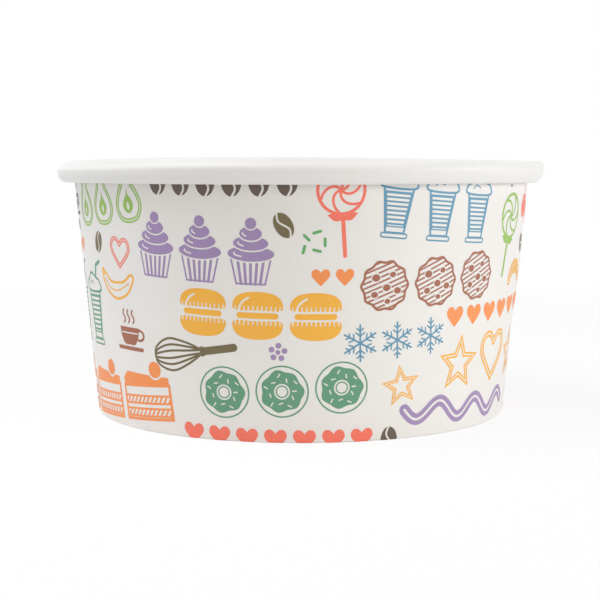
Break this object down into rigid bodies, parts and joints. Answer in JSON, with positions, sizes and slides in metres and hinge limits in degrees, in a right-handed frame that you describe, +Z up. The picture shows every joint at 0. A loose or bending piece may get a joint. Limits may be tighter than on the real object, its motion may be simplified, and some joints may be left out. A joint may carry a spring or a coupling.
{
  "type": "paper dessert cup",
  "caption": "Low tapered paperboard cup with a rolled rim and a recessed bottom, printed all round with a dessert pattern, for ice cream, yoghurt or pudding.",
  "frame": {"origin": "on the cup's axis, in the plane that its foot stands on", "axes": "+Z up along the axis, out of the mouth; the side seam is at the back, on +Y"},
  "size_m": [0.092, 0.092, 0.047],
  "materials": {
    "printed_board": "smooth white coated paperboard, satin, with a small all-over print",
    "base_board": "plain white coated paperboard, satin"
  },
  "bodies": {
    "root": {"side_wall": "printed_board", "base_disc": "base_board"}
  },
  "joints": []
}
